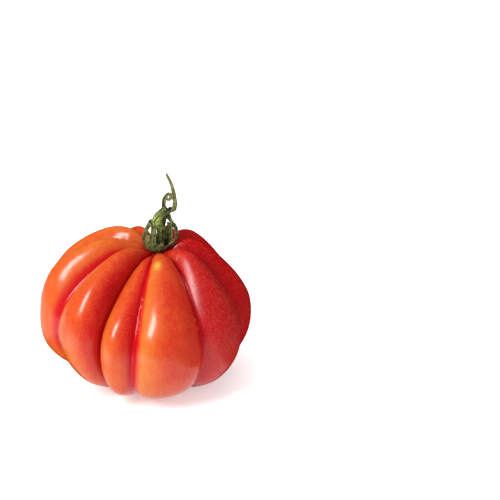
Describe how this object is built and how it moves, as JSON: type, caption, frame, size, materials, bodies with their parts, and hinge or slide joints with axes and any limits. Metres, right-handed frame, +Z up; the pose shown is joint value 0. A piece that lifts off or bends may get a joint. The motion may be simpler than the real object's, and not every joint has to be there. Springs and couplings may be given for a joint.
{
  "type": "tomato",
  "caption": "Deeply ribbed ripe beefsteak tomato standing on its blossom end, with a snapped green stalk and curled withered sepals.",
  "frame": {"origin": "on the surface the tomato rests on, under the middle of the whole piece's box", "axes": "+Z up along the core towards the stalk; -Y is the front, the side with the widest lobe; +X is to the right of the front"},
  "size_m": [0.0986, 0.0964, 0.0986],
  "materials": {
    "skin": "smooth waxy tomato skin, orange-red on the crests and deep red in the creases, with fine pale flecks",
    "green_stalk": "drying green stalk, yellow-green at the knuckle and dark in its furrows, dull and slightly hairy",
    "withered_sepal": "withered grey-green sepal with tan edges and lengthwise veins, dull and dry"
  },
  "bodies": {
    "root": {"fruit": "skin", "stalk": "green_stalk", "sepal_front_strip": "withered_sepal", "sepal_front_short": "withered_sepal", "sepal_left_arch": "withered_sepal", "sepal_back_left": "withered_sepal", "sepal_back": "withered_sepal", "sepal_curl": "withered_sepal", "sepal_back_right": "withered_sepal", "sepal_boat": "withered_sepal", "sepal_long_tip": "withered_sepal", "sepal_front_stub": "withered_sepal"}
  },
  "joints": []
}
